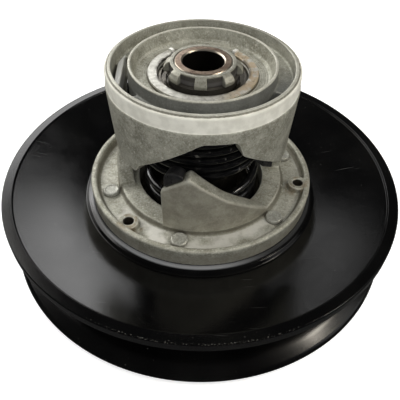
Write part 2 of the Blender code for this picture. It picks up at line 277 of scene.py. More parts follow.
def turned(name, profile, steps=TURN_STEPS):
    """A body of revolution from a profile of (radius, height) that runs down its outer side."""
    bm = bmesh.new()
    verts = [bm.verts.new((radius * MM, 0.0, z * MM)) for radius, z in profile]
    for first, second in zip(verts, verts[1:]):
        bm.edges.new((first, second))
    if profile[0][0] > 0.0:
        bm.edges.new((verts[-1], verts[0]))
    mesh = bpy.data.meshes.new(name)
    bm.to_mesh(mesh)
    bm.free()
    obj = bpy.data.objects.new(name, mesh)
    bpy.context.scene.collection.objects.link(obj)
    screw = obj.modifiers.new("turn", "SCREW")
    screw.steps = steps
    screw.render_steps = steps
    screw.use_merge_vertices = True
    screw.merge_threshold = MERGE_DISTANCE * MM
    return realise(obj)


def stations(low, high, keys=()):
    """Azimuths from low to high: each key between them, and steps of at most ARC_STEP."""
    marks = [low] + sorted(key for key in keys if low < key < high) + [high]
    result = []
    for first, second in zip(marks, marks[1:]):
        count = max(1, math.ceil((second - first) / ARC_STEP))
        result += [first + (second - first) * i / count for i in range(count)]
    return result + [high]


def soft_outline(outline, fillet):
    """An outline of (azimuth, height) on the cap's wall with its corners rounded, in millimetres."""
    scale = math.radians(CAP_WALL_R)
    flat = [(azimuth * scale, z) for azimuth, z in outline]
    return [(x / scale, z) for x, z in rounded(flat, fillet, closed=False)]


def along(outline, position):
    """The height of an outline of (position, height) points at a position between its ends."""
    for (a, low), (b, high) in zip(outline, outline[1:]):
        if position <= b and b > a:
            return low + (high - low) * (position - a) / (b - a)
    return outline[-1][1]


SOFT_CAP_EDGE = soft_outline(CAP_EDGE, 2.6)
SOFT_LOBE_TOP = soft_outline(LOBE_TOP, 2.0)


def cap_edge(azimuth):
    """The cap skirt's lower edge, which repeats once for each lobe."""
    start = CAP_EDGE[0][0]
    return along(SOFT_CAP_EDGE, (azimuth - start) % CAM_PITCH + start)


def cap_edge_keys():
    """The azimuths of the corners of the cap's lower edge, all the way round."""
    return [key + CAM_PITCH * i for i in range(-1, CAM_COUNT + 1) for key, _ in SOFT_CAP_EDGE[:-1]]


def level(z):
    """A height that is the same at every azimuth."""
    return lambda azimuth: z


def sector(name, azimuths, radii, bottom, top, closed=False, fillet=0.0):
    """A curved bar between two radii whose bottom and top heights follow functions of the azimuth."""
    bm = bmesh.new()
    rings = []
    for azimuth in azimuths:
        low, high = bottom(azimuth), top(azimuth)
        section = [(radii[1], low), (radii[1], high), (radii[0], high), (radii[0], low)]
        if fillet:
            section = rounded(section, fillet, BAR_CORNER_STEPS)
        rings.append([bm.verts.new(point(azimuth, radius, z)) for radius, z in section])
    following = rings[1:] + rings[:1] if closed else rings[1:]
    count = len(rings[0])
    for ring, after in zip(rings, following):
        for i in range(count):
            j = (i + 1) % count
            bm.faces.new((ring[i], ring[j], after[j], after[i]))
    if not closed:
        bm.faces.new(rings[0])
        bm.faces.new(rings[-1])
    return add_mesh(name, bm)


def pins(name, places, radius, span):
    """Upright cylinders of one radius at the given (azimuth, pitch radius) places."""
    bm = bmesh.new()
    for azimuth, pitch_radius in places:
        made = bmesh.ops.create_cone(
            bm,
            cap_ends=True,
            segments=SMALL_STEPS,
            radius1=radius * MM,
            radius2=radius * MM,
            depth=(span[1] - span[0]) * MM,
        )
        centre = point(azimuth, pitch_radius, (span[0] + span[1]) / 2)
        bmesh.ops.translate(bm, verts=made["verts"], vec=centre)
    return add_mesh(name, bm)


def combine(obj, operation, tools):
    """Cuts the tools from obj or joins them to it, and removes them."""
    for tool in tools:
        modifier = obj.modifiers.new(tool.name, "BOOLEAN")
        modifier.operation = operation
        modifier.solver = "EXACT"
        modifier.object = tool
    realise(obj)
    for tool in tools:
        bpy.data.objects.remove(tool)
    return obj


def soften(obj, voxel, passes):
    """Rebuilds the surface as an even mesh and relaxes it, which rounds its edges like a casting's."""
    remesh = obj.modifiers.new("even", "REMESH")
    remesh.mode = "VOXEL"
    remesh.voxel_size = voxel * MM
    relax = obj.modifiers.new("relax", "SMOOTH")
    relax.factor = 0.5
    relax.iterations = passes
    return realise(obj)


def crisp_shading(obj):
    """Keeps wide faces evenly shaded next to narrow rounded edges."""
    obj.data.shade_smooth()
    weighted = obj.modifiers.new("shading", "WEIGHTED_NORMAL")
    weighted.keep_sharp = True
    return realise(obj)


# ---------------------------------------------------------------- materials


class Graph:
    """A material's nodes, with a short call for each kind that is used here."""

    def __init__(self, name):
        self.material = bpy.data.materials.new(f"{name}_look")
        self.material.use_nodes = True
        self.tree = self.material.node_tree
        self.surface = self.tree.nodes["Principled BSDF"]
        self.place = self.node("ShaderNodeTexCoord", "Object")
        split = self.tree.nodes.new("ShaderNodeSeparateXYZ")
        self.put(split.inputs[0], self.place)
        self.x, self.y, self.z = split.outputs
        squares = self.math("ADD", self.times(self.x, self.x), self.times(self.y, self.y))
        self.radius = self.math("SQRT", squares)
        self.azimuth = self.math("ARCTAN2", self.x, self.times(self.y, -1.0))

    def put(self, socket, value):
        """Links a socket to another one, or sets its value."""
        if isinstance(value, bpy.types.NodeSocket):
            self.tree.links.new(value, socket)
        elif isinstance(value, tuple) and len(value) == 3 and socket.type == "RGBA":
            socket.default_value = (*value, 1.0)
        else:
            socket.default_value = value

    def node(self, kind, output, inputs=(), **settings):
        """Adds a node and gives back one of its outputs."""
        made = self.tree.nodes.new(kind)
        for key, value in settings.items():
            setattr(made, key, value)
        for key, value in dict(inputs).items():
            self.put(made.inputs[key], value)
        return made.outputs[output]

    def math(self, operation, first, second=0.0):
        inputs = {0: first, 1: second}
        return self.node("ShaderNodeMath", 0, inputs, operation=operation)

    def times(self, first, second):
        return self.math("MULTIPLY", first, second)

    def noise(self, scale, detail=3.0, place=None, roughness=0.5):
        """Noise whose features are about 1/scale metres wide."""
        inputs = {"Vector": place or self.place, "Scale": scale, "Detail": detail, "Roughness": roughness}
        return self.node("ShaderNodeTexNoise", "Fac", inputs)

    def step(self, value, low, high):
        """0 at low and 1 at high, with a smooth rise between them."""
        inputs = {"Value": value, "From Min": low, "From Max": high}
        return self.node("ShaderNodeMapRange", "Result", inputs, interpolation_type="SMOOTHSTEP")

    def scale(self, value, low, high):
        """A value from 0 to 1 spread between low and high."""
        return self.node("ShaderNodeMapRange", "Result", {"Value": value, "To Min": low, "To Max": high})

    def mix(self, share, first, second):
        """The first colour at a share of 0, the second at 1."""
        made = self.tree.nodes.new("ShaderNodeMix")
        made.data_type = "RGBA"
        self.put(made.inputs[0], share)
        self.put(made.inputs[6], first)
        self.put(made.inputs[7], second)
        return made.outputs[2]

    def tint(self, share, first, second):
        """The first value at a share of 0, the second at 1."""
        made = self.tree.nodes.new("ShaderNodeMix")
        made.data_type = "FLOAT"
        self.put(made.inputs[0], share)
        self.put(made.inputs[2], first)
        self.put(made.inputs[3], second)
        return made.outputs[0]

    def cover(self, colour, coat, mask, share):
        """The colour with a coat over it, as thick as its share where the mask is 1."""
        return self.mix(self.times(mask, share), colour, coat)

    def polar(self, around, outwards, upwards):
        """Coordinates that follow a turned piece: its azimuth, radius and height, each with its own scale."""
        inputs = {
            0: self.times(self.azimuth, around),
            1: self.times(self.radius, outwards),
            2: self.times(self.z, upwards),
        }
        return self.node("ShaderNodeCombineXYZ", 0, inputs)

    def scratches(self, turn, fineness):
        """Short straight hairlines that run at one angle across the piece, seen from above."""
        rotation = (0.0, 0.0, math.radians(turn))
        inputs = {"Vector": self.place, "Rotation": rotation, "Scale": (28.0, fineness, 28.0)}
        stretched = self.node("ShaderNodeMapping", 0, inputs)
        lines = self.step(self.noise(1.0, 1.0, stretched), 0.745, 0.78)
        return self.times(lines, self.step(self.noise(23.0), 0.5, 0.6))

    def between(self, value, low, high, soft):
        """1 where the value lies between low and high."""
        above = self.step(value, low - soft, low + soft)
        below = self.step(value, high + soft, high - soft)
        return self.times(above, below)

    def ring(self, low, high, soft):
        """1 where the radius lies between two values in millimetres."""
        return self.between(self.radius, low * MM, high * MM, soft * MM)

    def layer(self, low, high, soft):
        """1 where the height lies between two values in millimetres."""
        return self.between(self.z, low * MM, high * MM, soft * MM)

    def across(self, socket, low, high):
        """0 at low and 1 at high, both in millimetres, for a coordinate or a radius."""
        return self.step(socket, low * MM, high * MM)

    def near_bosses(self):
        """The distance in metres to the closest of the flange's bosses, seen from above."""
        nearest = 1.0
        for azimuth in BOSS_AZIMUTHS:
            boss = point(azimuth, BOSS_PITCH_R, 0.0)
            square_x = self.math("POWER", self.math("SUBTRACT", self.x, boss.x), 2.0)
            square_y = self.math("POWER", self.math("SUBTRACT", self.y, boss.y), 2.0)
            distance = self.math("SQRT", self.math("ADD", square_x, square_y))
            nearest = self.math("MINIMUM", distance, nearest)
        return nearest

    def on_ribs(self):
        """1 on the three ribs of the cap, which are straight walls across its pockets."""
        low = RIB_CENTRE[0] - RIB_SIZE[1] / 2 - 0.2
        high = RIB_CENTRE[0] + RIB_SIZE[1] / 2 + 0.2
        found = 0.0
        for i in range(CAM_COUNT):
            outward = point(RIB_AZIMUTH + CAM_PITCH * i, 1.0, 0.0) / MM
            reach = self.math("ADD", self.times(self.x, outward.x), self.times(self.y, outward.y))
            wall = self.between(reach, low * MM, high * MM, 0.1 * MM)
            found = self.math("MAXIMUM", wall, found)
        return found

    def crevice(self, distance):
        """1 deep in corners and hollows, 0 on faces that are open for a distance in millimetres."""
        open_share = self.node("ShaderNodeAmbientOcclusion", "AO", {"Distance": distance * MM}, samples=8)
        return self.step(open_share, 0.75, 0.25)

    def edge(self, low, high):
        """1 on the outer edges of an even mesh."""
        return self.step(self.node("ShaderNodeNewGeometry", "Pointiness"), low, high)

    def bump(self, height, distance):
        """The normal of a surface whose height runs from 0 to a distance in millimetres."""
        inputs = {"Height": height, "Distance": distance * MM, "Strength": 1.0}
        return self.node("ShaderNodeBump", "Normal", inputs)

    def finish(self, colour, roughness, metallic, normal, specular=0.5):
        """Sets up the surface and gives back the material."""
        self.put(self.surface.inputs["Base Color"], colour)
        self.put(self.surface.inputs["Roughness"], roughness)
        self.put(self.surface.inputs["Metallic"], metallic)
        self.put(self.surface.inputs["Normal"], normal)
        self.put(self.surface.inputs["Specular IOR Level"], specular)
        return self.material


def black_paint():
    """Gloss paint with an orange-peel skin, hairline scratches, dust, rim chips and a painted highlight on
    the shoulder.
    """
    g = Graph("black_paint")
    haze = g.step(g.noise(28.0, 4.0), 0.40, 0.72)
    colour = g.mix(haze, (0.0014, 0.0014, 0.0015), (0.0036, 0.0035, 0.0033))
    marks = g.math("MAXIMUM", g.scratches(25.0, 1500.0), g.scratches(118.0, 1900.0))
    colour = g.cover(colour, (0.13, 0.125, 0.115), marks, 0.45)
    dust = g.step(g.noise(750.0, 1.0), 0.775, 0.80)
    colour = g.cover(colour, (0.16, 0.155, 0.14), dust, 0.30)
    # The upper rim's corner is chipped, mostly in front
    corner = g.times(g.ring(126.3, 127.0, 0.2), g.across(g.z, 44.0, 45.0))
    front = g.step(g.math("ABSOLUTE", g.azimuth), 0.50, 0.25)
    chips = g.step(g.noise(1.0, 3.0, g.polar(140.0, 2200.0, 2200.0)), 0.60, 0.66)
    chipped = g.times(g.times(corner, chips), g.scale(front, 0.06, 1.0))
    colour = g.cover(colour, (0.36, 0.345, 0.31), chipped, 0.45)
    # The shoulder round the flange carries a painted grey highlight, strongest in front
    shoulder = g.times(g.ring(71.8, 74.2, 0.6), g.across(g.z, 32.5, 33.0))
    highlight_side = g.times(g.across(g.y, -40.0, -66.0), g.across(g.x, 45.0, 5.0))
    colour = g.cover(colour, (0.36, 0.365, 0.37), shoulder, g.scale(highlight_side, 0.08, 0.62))
    # The lower disc is duller than the upper one and has less orange peel
    lower_disc = g.across(g.z, 21.5, 20.5)
    roughness = g.tint(g.step(g.noise(60.0, 5.0), 0.35, 0.70), 0.08, 0.15)
    roughness = g.tint(lower_disc, roughness, 0.21)
    roughness = g.tint(marks, roughness, 0.45)
    peel = g.math("ADD", g.noise(1200.0, 2.0), g.times(g.noise(2600.0, 1.0), 0.5))
    normal = g.bump(g.times(peel, g.scale(lower_disc, 1.0, 0.15)), 0.045)
    return g.finish(colour, roughness, 0.0, normal, 0.42)


def flange_marks(g, colour):
    """Stains and rubbed patches on the cam flange, a painted highlight on its channel in front, and painted
    shade along the channel's steps.
    """
    lobe_wall = g.times(g.layer(44.0, 82.5, 0.6), g.ring(53.8, 55.2, 0.3))
    flange_side = g.times(g.across(g.z, 44.0, 40.0), g.across(g.radius, 70.5, 71.2))
    stained = g.math("MAXIMUM", g.times(lobe_wall, 0.75), g.times(flange_side, 0.60))
    patches = g.step(g.noise(75.0, 6.0, roughness=0.7), 0.38, 0.64)
    colour = g.mix(stained, colour, g.mix(patches, (0.27, 0.25, 0.195), (0.42, 0.40, 0.325)))
    # Rubbed patches on the channel, also a painted highlight that is strongest in front
    channel = g.times(g.ring(56.0, 67.0, 0.6), g.layer(40.0, 41.6, 0.2))
    rubbed = g.step(g.noise(48.0, 3.0, roughness=0.6), 0.40, 0.56)
    in_front = g.step(g.math("ABSOLUTE", g.azimuth), 1.15, 0.60)
    colour = g.cover(colour, (0.76, 0.745, 0.68), g.times(channel, rubbed), g.scale(in_front, 0.15, 0.85))
    # Painted shade along the channel's two steps
    channel_steps = g.math("MAXIMUM", g.ring(53.4, 55.3, 0.5), g.ring(66.6, 68.4, 0.5))
    step_shade = g.times(g.layer(39.5, 43.6, 0.3), channel_steps)
    return g.cover(colour, (0.13, 0.118, 0.085), step_shade, g.scale(g.noise(130.0, 4.0), 0.45, 1.05))


def boss_marks(g, colour):
    """Rust stains round the flange's bosses, and their dark holes."""
    distance = g.near_bosses()
    around = g.times(g.ring(57.0, 71.5, 1.5), g.across(distance, 10.5, 7.0))
    rust = g.times(around, g.step(g.noise(210.0, 4.0), 0.42, 0.60))
    colour = g.cover(colour, (0.23, 0.165, 0.085), rust, 0.55)
    return g.cover(colour, (0.02, 0.018, 0.014), g.across(distance, 3.6, 3.2), 0.9)


def cap_hollow_light(g, colour):
    """Painted shade on the cap's pockets in front, and a painted highlight on the ribs across them."""
    hollow = g.times(g.ring(41.3, 50.6, 0.2), g.layer(108.0, 123.4, 0.3))
    in_front = g.across(g.y, 10.0, -20.0)
    colour = g.cover(colour, (0.17, 0.176, 0.172), hollow, g.scale(in_front, 0.10, 0.72))
    ribs = g.times(g.on_ribs(), g.across(g.radius, 49.3, 48.9))
    return g.cover(colour, (0.84, 0.84, 0.80), g.times(hollow, ribs), 0.85)


def cap_rim_marks(g, colour, rings):
    """The cap's rim: a bright lip, painted shade in its groove, a turned band outside, and painted shade on
    its top at the back.
    """
    above = g.across(g.z, BAND_LOW - 0.1, BAND_LOW + 0.1)
    lip = g.times(above, g.ring(50.4, 52.3, 0.2))
    colour = g.cover(colour, (0.62, 0.61, 0.54), lip, 0.4)
    # Painted shade in the groove between the lip and the band
    groove = g.times(above, g.ring(52.3, 53.0, 0.1))
    colour = g.cover(colour, (0.12, 0.11, 0.085), groove, 0.5)
    turned_colour = g.mix(g.step(g.noise(170.0, 5.0), 0.35, 0.65), (0.66, 0.645, 0.565), (0.78, 0.765, 0.68))
    turned_colour = g.cover(turned_colour, (0.52, 0.50, 0.43), g.step(rings, 0.6, 0.75), 0.25)
    band = g.times(above, g.across(g.radius, 52.9, 53.1))
    colour = g.mix(band, colour, turned_colour)
    # Painted shade: the rim's top is darker towards the back
    rim_top = g.times(g.across(g.z, 122.8, 123.4), g.across(g.radius, 50.0, 50.5))
    rim_back_shade = g.times(rim_top, g.across(g.y, -10.0, 30.0))
    return g.cover(colour, (0.27, 0.262, 0.215), rim_back_shade, 0.62), band


def cast_aluminium():
    """Die-cast aluminium: mottled, with painted shade in its corners, worn edges that are also painted as
    highlights, and a turned band on the cap.
    """
    g = Graph("cast_aluminium")
    mottle = g.step(g.noise(110.0, 6.0, roughness=0.72), 0.34, 0.66)
    colour = g.mix(mottle, (0.285, 0.277, 0.218), (0.505, 0.498, 0.418))
    speckle = g.noise(900.0, 5.0, roughness=0.75)
    colour = g.cover(colour, (0.17, 0.163, 0.122), g.step(speckle, 0.53, 0.64), 0.62)
    colour = g.cover(colour, (0.74, 0.735, 0.66), g.step(speckle, 0.46, 0.36), 0.62)
    colour = flange_marks(g, colour)
    dished = g.times(g.ring(31.2, 38.5, 0.4), g.layer(115.7, 117.5, 0.2))
    arcs = g.step(g.noise(1.0, 3.0, g.polar(1.2, 2200.0, 400.0)), 0.50, 0.66)
    colour = g.cover(colour, (0.72, 0.71, 0.63), g.times(dished, arcs), 0.55)
    # Painted shade in corners and hollows, from an ambient occlusion mask
    corner_shade = g.times(g.crevice(7.0), g.scale(g.noise(190.0, 4.0), 0.2, 1.3))
    colour = g.cover(colour, (0.080, 0.069, 0.048), corner_shade, 0.95)
    # Painted shade on the floor next to the retaining ring's outer edge
    ring_groove = g.times(g.ring(30.9, 31.6, 0.15), g.across(g.z, 115.0, 115.5))
    colour = g.cover(colour, (0.07, 0.055, 0.035), ring_groove, 0.75)
    colour = boss_marks(g, colour)
    colour = cap_hollow_light(g, colour)
    # Worn edges, lightened also as a painted edge highlight
    colour = g.cover(colour, (0.72, 0.70, 0.61), g.edge(0.508, 0.550), 0.60)
    rings = g.noise(1.0, 2.0, g.polar(4.0, 400.0, 5200.0))
    colour, band = cap_rim_marks(g, colour, rings)
    roughness = g.tint(band, g.scale(g.noise(240.0, 4.0), 0.40, 0.64), 0.75)
    skin = g.math("ADD", g.noise(850.0, 5.0), g.times(g.noise(2600.0, 2.0), 0.5))
    normal = g.bump(g.tint(band, skin, g.times(rings, 0.25)), 0.26)
    return g.finish(colour, roughness, g.tint(band, 0.40, 0.05), normal)


def turned_steel(name, colours, stain, stain_share, roughness, scale=1.0):
    """Machined steel with turning marks, mottled in two colours, with stains in patches and painted shade in
    corners.
    """
    g = Graph(name)
    low, high = colours
    colour = g.mix(g.step(g.noise(150.0 * scale, 4.0), 0.32, 0.68), low, high)
    patches = g.step(g.noise(95.0 * scale, 5.0), 0.46, 0.66)
    # Stains in patches, and painted shade in corners from an ambient occlusion mask
    share = g.math("MAXIMUM", g.times(patches, stain_share), g.times(g.crevice(3.0), 0.8))
    colour = g.mix(share, colour, stain)
    rings = g.noise(1.0, 2.0, g.polar(3.0, 4200.0, 4200.0))
    dark_line = tuple(c * 0.5 for c in low)
    colour = g.cover(colour, dark_line, g.step(rings, 0.55, 0.75), 0.18)
    rough = g.scale(g.noise(600.0, 3.0), roughness * 0.75, roughness * 1.3)
    height = g.math("ADD", g.times(rings, 0.6), g.noise(1800.0, 2.0))
    normal = g.bump(height, 0.04)
    return g.finish(colour, rough, 0.9, normal)


def post_steel():
    """The post's turned end: brown oxide between two lips with painted highlights, and painted shade down its
    bore.
    """
    g = Graph("brown_steel")
    colour = g.mix(g.step(g.noise(230.0, 4.0), 0.35, 0.65), (0.19, 0.128, 0.086), (0.33, 0.250, 0.185))
    blotch = g.step(g.noise(330.0, 4.0), 0.52, 0.66)
    colour = g.cover(colour, (0.10, 0.060, 0.040), blotch, 0.6)
    rubbed = g.step(g.noise(140.0, 3.0, g.polar(0.02, 1.0, 1.0)), 0.56, 0.68)
    colour = g.cover(colour, (0.55, 0.46, 0.34), rubbed, 0.5)
    # Painted highlights on the two chamfered lips
    lip_highlights = g.math("MAXIMUM", g.across(g.radius, 12.45, 12.25), g.across(g.radius, 15.45, 15.65))
    colour = g.cover(colour, (0.72, 0.66, 0.55), lip_highlights, 0.8)
    # Painted shade down the bore, below its mouth
    below_mouth = g.across(g.z, POST_TOP - 0.6, POST_TOP - 1.2)
    bore_shade = g.times(g.across(g.radius, 12.1, 11.8), below_mouth)
    colour = g.mix(bore_shade, colour, (0.020, 0.017, 0.014))
    roughness = g.scale(g.noise(700.0, 3.0), 0.22, 0.42)
    rings = g.noise(1.0, 2.0, g.polar(3.0, 4200.0, 2600.0))
    normal = g.bump(rings, 0.03)
    return g.finish(colour, g.tint(bore_shade, roughness, 0.6), 0.9, normal)


def slotted_steel():
    """Grey machined steel of the nut and rear hub, with painted shade on the nut's slot walls, under its rim
    and in corners, and worn edges also painted as highlights.
    """
    g = Graph("steel")
    colour = g.mix(g.step(g.noise(260.0, 4.0), 0.32, 0.68), (0.335, 0.328, 0.272), (0.48, 0.47, 0.40))
    colour = g.cover(colour, (0.19, 0.182, 0.145), g.step(g.noise(1000.0, 4.0), 0.52, 0.64), 0.5)
    # Painted shade on the slot walls, darkest high on the wall
    root = g.times(g.ring(17.6, 19.0, 0.2), g.layer(117.6, 123.3, 0.3))
    slot_wall_shade = g.mix(g.across(g.z, 121.2, 120.0), (0.060, 0.054, 0.056), (0.17, 0.163, 0.165))
    colour = g.cover(colour, slot_wall_shade, root, 0.85)
    # Painted shade under the nut's rim
    under = g.times(g.across(g.z, 119.0, 117.6), g.across(g.z, 110.0, 112.0))
    colour = g.cover(colour, (0.05, 0.042, 0.034), under, 0.85)
    # Painted shade in corners, from an ambient occlusion mask
    colour = g.cover(colour, (0.05, 0.042, 0.035), g.crevice(2.0), 0.8)
    # Worn edges, lightened also as painted highlights
    colour = g.cover(colour, (0.62, 0.61, 0.55), g.edge(0.53, 0.62), 0.5)
    roughness = g.scale(g.noise(500.0, 3.0), 0.34, 0.55)
    normal = g.bump(g.noise(1500.0, 4.0), 0.10)
    return g.finish(colour, roughness, 0.6, normal)


def tinted_steel():
    """Bright spring steel of the retaining ring, with straw and violet heat tints and brown oil."""
    g = Graph("bright_steel")
    colour = g.mix(g.step(g.noise(420.0, 5.0), 0.35, 0.65), (0.70, 0.69, 0.63), (0.50, 0.49, 0.44))
    right = g.across(g.x, 4.0, 22.0)
    straw = g.times(right, g.step(g.noise(170.0, 4.0), 0.40, 0.55))
    colour = g.cover(colour, (0.52, 0.38, 0.20), straw, 0.7)
    violet = g.times(right, g.step(g.noise(210.0, 3.0, g.polar(2.0, 30.0, 1.0)), 0.58, 0.68))
    colour = g.cover(colour, (0.46, 0.34, 0.46), violet, 0.45)
    inner = g.times(g.across(g.radius, 27.6, 25.8), g.step(g.noise(200.0, 4.0), 0.38, 0.56))
    colour = g.cover(colour, (0.045, 0.036, 0.026), inner, 0.8)
    # Painted highlight on the tops of the lugs
    colour = g.cover(colour, (0.95, 0.94, 0.88), g.across(g.z, 118.0, 118.4), 0.8)
    oil = g.step(g.noise(520.0, 5.0), 0.60, 0.70)
    colour = g.cover(colour, (0.14, 0.11, 0.07), oil, 0.5)
    roughness = g.scale(g.noise(900.0, 4.0), 0.30, 0.60)
    normal = g.bump(g.noise(1300.0, 5.0), 0.06)
    return g.finish(colour, roughness, 0.55, normal)


def spring_paint():
    """Thick gloss enamel on the wire, rubbed through in places."""
    g = Graph("spring_black")
    colour = g.mix(g.step(g.noise(300.0, 4.0), 0.4, 0.7), (0.003, 0.003, 0.0034), (0.009, 0.0088, 0.0085))
    rubbed = g.times(g.step(g.noise(260.0, 5.0), 0.64, 0.70), g.across(g.radius, 36.0, 37.4))
    colour = g.cover(colour, (0.20, 0.19, 0.17), rubbed, 0.45)
    roughness = g.scale(g.noise(700.0, 4.0), 0.05, 0.20)
    normal = g.bump(g.noise(1100.0, 3.0), 0.02)
    return g.finish(colour, roughness, 0.0, normal)


def nylon():
    """Worn black nylon with a faint mould grain and rubbed edges that are also painted as highlights."""
    g = Graph("black_nylon")
    colour = g.mix(g.step(g.noise(260.0, 4.0), 0.35, 0.7), (0.012, 0.012, 0.0125), (0.030, 0.029, 0.028))
    # Rubbed edges, lightened also as painted highlights
    colour = g.cover(colour, (0.10, 0.098, 0.092), g.edge(0.53, 0.60), 0.5)
    roughness = g.scale(g.noise(420.0, 4.0), 0.20, 0.42)
    normal = g.bump(g.math("ADD", g.noise(1600.0, 3.0), g.times(g.noise(330.0, 2.0), 3.0)), 0.06)
    return g.finish(colour, roughness, 0.0, normal)


def rivet_steel():
    """Peened rivet steel: dull, dimpled, with painted shade round the head."""
    g = Graph("rivet_steel")
    dimples = g.node("ShaderNodeTexVoronoi", "Distance", {"Vector": g.place, "Scale": 900.0})
    colour = g.mix(g.step(dimples, 0.15, 0.75), (0.50, 0.50, 0.44), (0.35, 0.345, 0.30))
    colour = g.cover(colour, (0.26, 0.24, 0.20), g.step(g.noise(260.0, 4.0), 0.52, 0.68), 0.45)
    # Painted shade round the head, from an ambient occlusion mask
    colour = g.cover(colour, (0.07, 0.062, 0.045), g.crevice(2.5), 0.8)
    roughness = g.scale(g.noise(700.0, 3.0), 0.28, 0.50)
    normal = g.bump(g.math("ADD", dimples, g.noise(1500.0, 3.0)), 0.10)
    return g.finish(colour, roughness, 0.45, normal)


def make_materials():
    """One finished material for each of the record's material slots."""
    oily = ((0.060, 0.053, 0.040), (0.14, 0.126, 0.096))
    bronze = ((0.36, 0.24, 0.13), (0.48, 0.33, 0.19))
    return {
        "black_paint": black_paint(),
        "cast_aluminium": cast_aluminium(),
        "steel": slotted_steel(),
        "brown_steel": post_steel(),
        "dark_steel": turned_steel("dark_steel", oily, (0.018, 0.015, 0.012), 0.6, 0.22, 1.6),
        "bronze": turned_steel("bronze", bronze, (0.12, 0.075, 0.04), 0.4, 0.36),
        "bright_steel": tinted_steel(),
        "spring_black": spring_paint(),
        "black_nylon": nylon(),
        "rivet_steel": rivet_steel(),
    }


MATERIALS = make_materials()


def dress(obj, finish, *nodes):
    """Gives a finished piece its material, puts it on its CAD node's body and lets it stand for the node."""
    obj.data.materials.clear()
    obj.data.materials.append(MATERIALS[finish])
    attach(obj, NODES[nodes[0]]["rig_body"])
    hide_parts(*nodes)
    return obj


def ring_of(name, obj, count, finish):
    """Numbered copies of a piece round the Z axis, each in place of the CAD node of the same number."""
    mesh = obj.data
    bpy.data.objects.remove(obj)
    for i in range(count):
        copy = bpy.data.objects.new(f"{name}_piece_{i + 1}", mesh)
        bpy.context.scene.collection.objects.link(copy)
        copy.rotation_euler.z = math.radians(360.0 / count * i)
        dress(copy, finish, f"{name}_{i + 1}")


def keep_cad(finish, *nodes):
    """A hidden-away CAD node keeps its own shape and takes a finished material."""
    for node in nodes:
        mesh = NODES[node].data
        mesh.materials.clear()
        mesh.materials.append(MATERIALS[finish])


# ---------------------------------------------------------------- pieces


# Turned profiles are (radius, height) or (radius, height, fillet) in mm, and run down the outer side.


def sheaves():
    """The two black discs: the movable one is dished with a flat rim, the fixed one's rim is rolled."""
    movable = (
        (126.7, RIM_TOP, 0.4),
        (SHEAVE_R, RIM_TOP - 0.7, 0.5),
        (SHEAVE_R, 40.4, 0.6),
        (126.4, 39.5, 0.6),
        (124.0, 39.5, 1.2),
        (60.0, 22.4, 2.0),
        (48.3, 22.4, 0.3),
        (48.3, 33.7, 0.3),
        (72.9, 33.7, 0.6),
        (75.8, 32.6, 0.8),
        (77.2, 30.7, 0.8),
        (120.6, 44.4, 0.5),
        (121.3, RIM_TOP - 0.4, 0.5),
    )
    obj = turned("movable_sheave_plate", rounded(movable), SHEAVE_STEPS)
    dress(crisp_shading(obj), "black_paint", "movable_sheave")
    fixed = (
        (60.0, 21.9, 2.0),
        (118.5, 9.2, 26.0),
        (125.6, 6.3, 4.0),
        (SHEAVE_R, 4.4, 1.4),
        (126.6, 2.9, 1.2),
        (124.8, 2.2, 1.0),
        (121.0, 3.0, 1.5),
        (61.0, 15.8, 3.0),
        (16.2, 15.8, 0.3),
        (16.2, 21.9, 0.3),
    )
    obj = turned("fixed_sheave_plate", rounded(fixed), SHEAVE_STEPS)
    dress(crisp_shading(obj), "black_paint", "fixed_sheave")


def cam_flange():
    """The movable half's casting: a rimmed plate with three lobes and three drilled bosses."""
    profile = (
        (72.4, 46.3, 1.5),
        (71.9, 34.0, 0.5),
        (48.0, 34.0, 0.3),
        (48.0, 25.4, 0.5),
        (25.3, 25.4, 0.3),
        (25.3, 31.0, 0.3),
        (41.0, 31.0, 0.5),
        (41.0, PLATFORM_Z, 0.5),
        (53.0, PLATFORM_Z, 0.5),
        (54.9, CHANNEL_Z, 0.4),
        (66.6, CHANNEL_Z, 0.4),
        (68.3, 42.4, 0.8),
        (68.6, 46.3, 1.3),
    )
    obj = turned("cam_flange_casting", rounded(profile))
    tools = [cam_lobe(i) for i in range(CAM_COUNT)]
    bosses = [(azimuth, BOSS_PITCH_R) for azimuth in BOSS_AZIMUTHS]
    tools.append(pins("bosses", bosses, BOSS_R, (BOSS_ROOT_Z, BOSS_TOP)))
    combine(obj, "UNION", tools)
    holes = pins("boss_holes", bosses, BOSS_HOLE_R, BOSS_HOLE_SPAN)
    combine(obj, "DIFFERENCE", [holes])
    soften(obj, FLANGE_VOXEL, 5)
    obj.data.shade_smooth()
    dress(obj, "cast_aluminium", "cam_flange")


def cam_lobe(index):
    """One lobe of the movable half: a short slope up to its peak and a long one down to the platform."""
    turn = CAM_PITCH * index
    keys = [azimuth for azimuth, _ in SOFT_LOBE_TOP]
    azimuths = [azimuth + turn for azimuth in stations(keys[0], keys[-1], keys)]

    def top(azimuth):
        return along(SOFT_LOBE_TOP, azimuth - turn)

    return sector(f"lobe_{index + 1}", azimuths, LOBE_R, level(LOBE_ROOT_Z), top, fillet=1.6)


